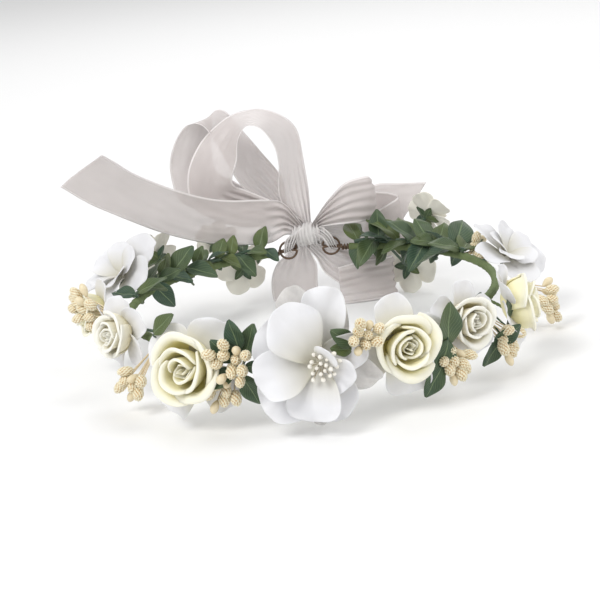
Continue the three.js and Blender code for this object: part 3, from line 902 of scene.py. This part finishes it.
for name, ((start, end), blades) in FRONT_LEAVES.items():
    parts = [thread(stem_line(start, end, 0, 3.6, 0.6, 10), 0.8 * MM, 8)]
    for foot_place, tip_place, tone in blades:
        foot = Vector(foot_place) * MM + Vector((0, 0, HOOP_HEIGHT))
        tip = Vector(tip_place) * MM + Vector((0, 0, HOOP_HEIGHT))
        turn = math.degrees(math.atan2(foot.x, -foot.y))
        root = around(turn, HOOP_RADIUS / MM + 1, 3)
        parts.append(thread([root, foot - 3 * MM * (tip - foot).normalized(), foot], 0.45 * MM))
        long = (tip - foot).length
        parts.append(leaf(
            foot, tip - foot, direction(turn, 20), long, 0.6 * long, tone=tone, droop=0.12, fold=0.2,
        ))
    one_piece(f"{name}_on_stem", parts, leaf_green, "crown", [name])


# Organza ribbon. One sheer 25 mm ribbon with satin selvedges makes the whole bow: two standing
# loops, a small puff and four tails, all gathered into pleats where the knot grips them.

def organza_finish(name, shade, light, thin, dense):
    """Sheer cloth whose threads and two selvedges are denser than the gaps between them."""
    finish, tree, shader = new_finish(name, 0.42)
    cross, along = uv_parts(tree)
    selvedges = node(tree, "ShaderNodeMath", operation="ADD")
    wire(tree, ranged(tree, cross, 0.045, 0.03), selvedges.inputs[0])
    wire(tree, ranged(tree, cross, 0.955, 0.97), selvedges.inputs[1])
    cloudy = use_group(tree, mottle_group, Scale=60.0)
    tone = mixed(tree, cloudy.outputs["Mask"], shade, light)
    wire(tree, mixed(tree, selvedges.outputs[0], tone, (0.82, 0.78, 0.77)), shader.inputs["Base Color"])
    weave = use_group(tree, cloth_group, Threads=650.0)
    cover = node(tree, "ShaderNodeMath", operation="MULTIPLY_ADD", use_clamp=True)
    cover.inputs[1].default_value = 0.3
    wire(tree, selvedges.outputs[0], cover.inputs[0])
    wire(tree, ranged(tree, weave.outputs["Height"], 0.25, 0.9, thin, dense), cover.inputs[2])
    wire(tree, cover.outputs[0], shader.inputs["Alpha"])
    shader.inputs["Sheen Weight"].default_value = 0.5
    shader.inputs["Sheen Roughness"].default_value = 0.3
    bumped(tree, shader, weave.outputs["Height"], 0.25, 0.0001)
    return finish


organza = organza_finish("organza_ribbon", (0.63, 0.575, 0.56), (0.74, 0.685, 0.67), 0.45, 0.7)

RIBBON_WIDTH = 25.0
RIBBON_CLOTH = 0.1 * MM
PLEATS = 5
RIBBON_COLUMNS = 30
ROWS_PER_POINT = 14


def through(points, share):
    """The point on a smooth curve through the given ones, from 0 at its start to 1 at its end."""
    last = len(points) - 1
    place = min(max(share, 0.0), 1.0) * last
    k = min(int(place), last - 1)
    u = place - k
    before = points[k - 1] if k > 0 else 2 * points[0] - points[1]
    after = points[k + 2] if k + 2 <= last else 2 * points[last] - points[last - 1]
    near, far = points[k], points[k + 1]
    bend = 2 * before - 5 * near + 4 * far - after
    twist = 3 * near - before - 3 * far + after
    return 0.5 * (2 * near + (far - before) * u + bend * u * u + twist * u ** 3)


def ribbon_strip(course, seed, rows, pleats=PLEATS, wave=0.6, bow=0.0):
    """A strip of ribbon along a course of centre points, ways across and widths, in millimetres.
    Where it is narrower than it was cut, the spare width goes into pleats of uneven depth."""
    centres = [Vector(centre) for centre, side, width in course]
    sides = [Vector(side).normalized() * width for centre, side, width in course]

    def place(across, along):
        centre = through(centres, along)
        run = (through(centres, along + 0.004) - through(centres, along - 0.004)).normalized()
        side = through(sides, along)
        width = side.length
        normal = run.cross(side).normalized()
        spare = max(0.0, (RIBBON_WIDTH ** 2 - width ** 2)) ** 0.5 / (2 * pleats)
        uneven = noise.noise(Vector((1.7 * across + seed, 3 * along, 5 + seed)))
        turns = pleats * (across + 1) / 2 + 0.35 * uneven
        fold = 0.5 * spare * (1 + 0.6 * uneven) * math.sin(2 * math.pi * turns + 1.3 * seed)
        ripple = noise.noise(Vector((1.1 * across + seed, 6 * along, 0.3 * seed)))
        ripple += 0.5 * noise.noise(Vector((3.1 * across + seed, 11 * along, 2 + seed)))
        full = min(1.0, width / RIBBON_WIDTH)
        lift = fold + wave * ripple * full + bow * full * full * (1 - across * across)
        spot = centre + side * across / 2 + normal * lift
        return Vector((spot.x * MM, spot.y * MM, spot.z * MM + HOOP_HEIGHT))
    return grid_sheet(RIBBON_COLUMNS, rows, place, RIBBON_CLOTH, 0)


RIBBONS = {
    "bow_front_loop": [
        ((0, 95.5, 9), (1, 0.2, 0), 8),
        ((-1, 98.5, 15), (1, 0.2, 0), 11),
        ((-3, 101, 30), (0.8, 0.6, 0), 20),
        ((-3, 103, 46), (0.55, 0.85, 0), 25),
        ((-5, 102, 60), (0.5, 0.85, 0.2), 25),
        ((-13, 99, 70), (0.35, 0.92, 0.15), 25),
        ((-23, 97.5, 73), (0.15, 0.97, 0.2), 25),
        ((-33, 95, 68), (-0.25, 0.9, 0.35), 25),
        ((-41, 93, 57), (-0.75, 0.55, 0.35), 25),
        ((-47, 93, 44), (-0.95, 0.25, 0.05), 25),
        ((-45, 94, 32), (-0.85, 0.1, -0.45), 25),
        ((-30, 95.5, 24), (-0.3, 0, -0.95), 20),
        ((-8.5, 97, 17), (0, 0.1, -1), 10),
        ((-1, 95, 8), (0, 0.1, -1), 8),
    ],
    "bow_back_loop": [
        ((0, 97, 10), (0.2, 0, 1), 8),
        ((-8.5, 101.5, 19), (0.2, 0, 1), 9),
        ((-15, 104.5, 31), (0.6, 0.3, 0.6), 18),
        ((-26, 108, 45), (0.5, 0.7, 0.6), 25),
        ((-35, 111, 61), (0.5, 0.85, 0.2), 25),
        ((-42, 111, 72), (0.5, 0.85, 0.1), 25),
        ((-49.5, 108, 73), (0.6, 0.8, 0.1), 25),
        ((-54.5, 105, 63), (0.8, 0.55, 0.1), 25),
        ((-56.5, 103, 50), (0.9, 0.3, 0.25), 25),
        ((-53, 101, 37), (0.8, 0.1, 0.6), 25),
        ((-38, 100, 30), (0.3, 0, 1), 20),
        ((-21, 98.8, 22), (0.1, 0, 1), 12),
        ((-8, 98, 13), (0.1, 0, 1), 9),
    ],
    "left_tail": [
        ((-1, 94, 9), (0, -0.1, 1), 9),
        ((-9.5, 91.5, 17.5), (0, -0.1, 1), 18),
        ((-20, 89.5, 17.5), (0, -0.1, 1), 25),
        ((-38, 85, 20), (0.05, -0.1, 1), 25),
        ((-54, 78.5, 25), (0.2, -0.1, 1), 25),
        ((-71, 71, 33.5), (0.33, -0.1, 0.95), 25),
        ((-88, 61.5, 45), (0.37, -0.1, 0.93), 25),
        ((-100, 53, 55), (0.6, -0.05, 0.75), 26),
        ((-109, 45, 64), (0.85, 0, 0.52), 27),
    ],
    "right_tail": [
        ((5, 96, 8), (0.1, 0, 1), 8),
        ((14.5, 99, 6), (0.1, 0, 1), 12),
        ((24, 101.5, 1), (0.1, 0, 1), 24),
        ((36, 103, 0), (0, 0, 1), 25),
        ((47, 104, 4), (-0.1, 0, 1), 25),
        ((54, 107, 7), (-0.1, 0.1, 1), 25),
        ((48, 110.5, 9), (0, 0, 1), 25),
        ((39, 112, 10.5), (0.1, 0, 1), 25),
        ((35, 115.5, 12), (0.2, 0, 1), 25),
        ((42, 118.5, 13), (0.1, 0, 1), 25),
        ((52, 118.5, 12.5), (0.3, 0, 1), 25),
        ((61, 117.5, 12.5), (0.6, 0, 0.8), 28),
    ],
    "hanging_tail": [
        ((-1, 95, 5), (1, 0, 0), 8),
        ((-4, 96, -2), (1, 0, 0), 12),
        ((-6, 97.5, -10), (1, 0, -0.1), 22),
        ((-8, 98, -19), (1, 0, -0.1), 25),
        ((-8, 99, -28), (1, 0, 0), 25),
        ((-6, 105, -30.5), (1, 0.1, 0), 25),
        ((-4, 118, -30.9), (1, 0.1, 0), 25),
    ],
    "draped_tail": [
        ((3, 95, 3), (0.8, 0, 0.6), 8),
        ((9, 96.5, -4), (0.8, 0, 0.6), 10),
        ((16, 96, -10), (0.7, 0, 0.7), 18),
        ((27, 95.5, -16), (0.5, 0, 0.85), 22),
        ((39, 96.5, -20), (0.2, 0, 1), 22),
        ((47, 95, -20.5), (0, 0.1, 1), 22),
        ((42, 91, -20.5), (0, 0.1, 1), 22),
        ((30, 89, -20.5), (0, 0.2, 1), 22),
        ((16, 88, -21.5), (0, 0.3, 1), 20),
    ],
    "bow_puff": [
        ((2, 93, 8), (0.5, 0, 1), 7),
        ((8, 91.5, 15), (0.3, 0, 1), 9),
        ((15, 89, 20), (0.15, 0, 1), 16),
        ((24, 87.5, 23.5), (0, 0, 1), 22),
        ((33, 88.5, 24.5), (0, 0, 1), 24),
        ((37.5, 92, 24), (0, 0, 1), 24),
        ((33, 95.5, 23.5), (0, 0, 1), 23),
        ((24, 96.5, 22), (0, 0, 1), 19),
        ((14, 96, 17), (0.2, 0, 1), 11),
        ((4, 96, 9), (0.4, 0, 1), 7),
    ],
}

RIBBON_CUTS = {
    # the body each one moves with, the length it was cut to, how it hangs, how far its middle bows out
    "bow_front_loop": ("bow_loops", 181, "gathered", 1.2),
    "bow_back_loop": ("bow_loops", 176, "gathered", 1.2),
    "left_tail": ("left_tail_ribbon", 136, "draped", 0.6),
    "right_tail": ("right_tail_ribbon", 103, "folded", 0.6),
    "hanging_tail": ("crown", 55, "hung", 1.5),
    "draped_tail": ("crown", 85, "hung", 1.5),
    "bow_puff": ("bow_loops", 82, "gathered", 2.5),
}

for seed, (name, course) in enumerate(RIBBONS.items(), 1):
    body, cut, held, bow = RIBBON_CUTS[name]
    strip = ribbon_strip(course, seed, ROWS_PER_POINT * len(course), bow=bow)
    bend = [Vector(course[k][0]) * MM + Vector((0, 0, HOOP_HEIGHT)) for k in (0, 2)]
    one_piece(
        f"{name}_organza", [strip], organza, body, [name],
        bend if body != "crown" else None,
    )


# The knot. The ribbon is drawn tight round itself in crushed pleats, and a gathered bight of it
# passes through each eyelet of the hoop, so that the bow closes the crown.

# Painted light: the knot's finish is a lighter copy of the ribbon's, for the brightness of its stacked,
# crushed pleats.
knot_organza_painted_light = organza_finish("knot_organza_painted_light", (0.82, 0.79, 0.775), (0.93, 0.91, 0.90), 0.45, 0.75)

LEFT_EYELET = Vector((-9.5, 89.5, 1))
RIGHT_EYELET = Vector((13.5, 89.5, 1))
KNOT = Vector((1, 95, 7))


def round_knot(shift, out, turn):
    """A point round the knot's cross axis, shifted along it."""
    return KNOT.x + shift, KNOT.y + out * math.cos(turn), KNOT.z + out * math.sin(turn)


wrap = []
for i in range(15):
    turn = 2.5 + i * 2 * math.pi / 11
    wrap.append((round_knot(0.5 * math.sin(i), 5.2 + 0.07 * i, turn), (1, 0, 0.12), 14))
frill = []
for i in range(9):
    turn = 0.2 + i * 2 * math.pi / 8
    slant = (0.75, 0.65 * math.cos(turn), 0.65 * math.sin(turn))
    frill.append((round_knot(6.5, 3.4, turn), slant, 9))
parts = [ribbon_strip(wrap, 21, 150, pleats=7, wave=1.2), ribbon_strip(frill, 22, 90, pleats=6, wave=1.5)]
for seed, hole, lean in ((23, LEFT_EYELET, 0.6), (24, RIGHT_EYELET, 0.5)):
    inner = KNOT.lerp(hole, 0.25)
    bight = [
        ((inner.x, inner.y, inner.z), (0, 0, 1), 7),
        ((hole.x * 0.7 + KNOT.x * 0.3, hole.y + 3.6, hole.z + 2.6), (0, 0.3, 1), 6),
        ((hole.x, hole.y + 0.6, hole.z), (1, 0, 0.4), 5),
        ((hole.x, hole.y - 2.2, hole.z + 0.6), (1, 0, 0.4), 5),
        ((hole.x * 0.85 + KNOT.x * 0.15, hole.y - 2.6, hole.z + 5), (1, 0, 0), 6),
        ((hole.x * 0.5 + KNOT.x * 0.5, hole.y + 0.5, hole.z + 8), (1, 0, lean), 7),
        ((KNOT.x, KNOT.y - 1.5, KNOT.z + 3), (1, 0, 0), 7),
    ]
    parts.append(ribbon_strip(bight, seed, 70, pleats=4, wave=0.4))
knot = one_piece("bow_knot_organza", parts, knot_organza_painted_light, "crown", ["bow_knot"])


# The hoop. A steel wire, painted brown, is bent into a round hoop with an eyelet at each end that
# is closed by winding the wire's end back round itself.

brown_wire, wire_tree, wire_shader = new_finish("brown_wire", 0.45)
wire_clouds = use_group(wire_tree, mottle_group, Scale=700.0)
wire_tone = mixed(wire_tree, wire_clouds.outputs["Mask"], (0.07, 0.045, 0.03), (0.16, 0.10, 0.06))
wire_rough = ranged(wire_tree, wire_clouds.outputs["Mask"], 0.3, 0.7, 0.35, 0.6)
wire(wire_tree, wire_tone, wire_shader.inputs["Base Color"])
wire(wire_tree, wire_rough, wire_shader.inputs["Roughness"])
wire_shader.inputs["Metallic"].default_value = 0.35
bumped(wire_tree, wire_shader, wire_clouds.outputs["Mask"], 0.3, 0.0001)

WIRE_RADIUS = 0.6 * MM
EYELET_RADIUS = 4.6
COIL_RADIUS = 1.25
LEFT_END = -171
RIGHT_END = 168


def wire_end(eyelet, end, way):
    """Points round an eyelet and back along the hoop in close turns."""
    points = []
    for i in range(25):
        turn = math.radians(180 if way > 0 else 0) - way * 2 * math.pi * i / 24
        points.append(Vector((
            (eyelet.x + EYELET_RADIUS * math.cos(turn)) * MM,
            (eyelet.y - 0.07 * i) * MM,
            (eyelet.z + EYELET_RADIUS * math.sin(turn)) * MM + HOOP_HEIGHT,
        )))
    for i in range(1, 26):
        turn = i * 2 * math.pi / 8
        out = HOOP_RADIUS / MM + COIL_RADIUS * math.cos(turn)
        points.append(around(end - way * 0.13 * i, out, COIL_RADIUS * math.sin(turn)))
    return points


def hoop_line(start, end, steps):
    """Points along the middle of the hoop, from one angle to another."""
    return [around(start + (end - start) * i / steps, HOOP_RADIUS / MM, 0) for i in range(steps + 1)]


hoop_arc = hoop_line(LEFT_END, RIGHT_END, 140)
parts = [
    thread(hoop_arc, WIRE_RADIUS, 8),
    thread([hoop_arc[0]] + wire_end(LEFT_EYELET, LEFT_END, -1), WIRE_RADIUS, 8),
    thread([hoop_arc[-1]] + wire_end(RIGHT_EYELET, RIGHT_END, 1), WIRE_RADIUS, 8),
]
one_piece("hoop_wire_bent", parts, brown_wire, "crown", ["hoop_wire"])


# Floral tape. Waxed crepe paper is wound on in overlapping turns from end to end of the hoop, and
# round the wire stem of every flower.

tape_paper, tape_tree, tape_shader = new_finish("floral_tape_paper", 0.8)
tape_clouds = use_group(tape_tree, mottle_group, Scale=160.0)
crepe = use_group(tape_tree, mottle_group, Scale=1800.0)
tape_tone = mixed(tape_tree, tape_clouds.outputs["Mask"], (0.06, 0.095, 0.03), (0.15, 0.20, 0.075))
crepe_tone = ranged(tape_tree, crepe.outputs["Mask"], 0.4, 0.8, 0.0, 0.4)
tape_colour = mixed(tape_tree, crepe_tone, tape_tone, (0.22, 0.25, 0.12))
wire(tape_tree, tape_colour, tape_shader.inputs["Base Color"])
bumped(tape_tree, tape_shader, crepe.outputs["Mask"], 0.6, 0.0003)

TAPE_TURN = 4.2
tube = thread(hoop_line(LEFT_END + 3, RIGHT_END - 3, 520), TAPE_RADIUS * 0.9, 16)
for corner in tube.data.vertices:
    turn = math.atan2(corner.co.x, -corner.co.y)
    middle = Vector((HOOP_RADIUS * math.sin(turn), -HOOP_RADIUS * math.cos(turn), HOOP_HEIGHT))
    out = corner.co - middle
    wound = math.atan2(out.z, out.dot(Vector((math.sin(turn), -math.cos(turn), 0)))) / (2 * math.pi)
    lap = (math.degrees(turn) / TAPE_TURN + wound) % 1.0
    corner.co = middle + out * (0.94 + 0.16 * lap)
one_piece("floral_tape_winding", [tube], tape_paper, "crown", ["floral_tape"])


STEM_BACK = 0.33


def wound_stem(start, end):
    """A taped wire from the hoop to the back of a flower, ridged by its own winding."""
    points = [start.lerp(end, i / 24) for i in range(25)]
    stem = thread(points, 0.72 * MM, 10)
    way = (end - start).normalized()
    for corner in stem.data.vertices:
        reach = (corner.co - start).dot(way)
        out = corner.co - (start + way * reach)
        corner.co = corner.co + out * 0.12 * math.sin(reach / (0.35 * MM))
    return stem


for number, rose in enumerate(ROSES, 1):
    toward = direction(rose["facing"], rose["tilt"])
    root = around(rose["angle"], HOOP_RADIUS / MM, 0)
    seat = around(rose["angle"], rose["radius"], rose["height"]) - STEM_BACK * rose["size"] * MM * toward
    one_piece(
        f"rose_{number}_taped_stem", [wound_stem(root, seat)], tape_paper, "crown",
        [f"rose_{number}_stem"],
    )
big_stem = wound_stem(around(0, HOOP_RADIUS / MM, 0), big_centre - 5 * MM * big_toward)
one_piece("big_flower_taped_stem", [big_stem], tape_paper, "crown", ["big_flower_stem"])
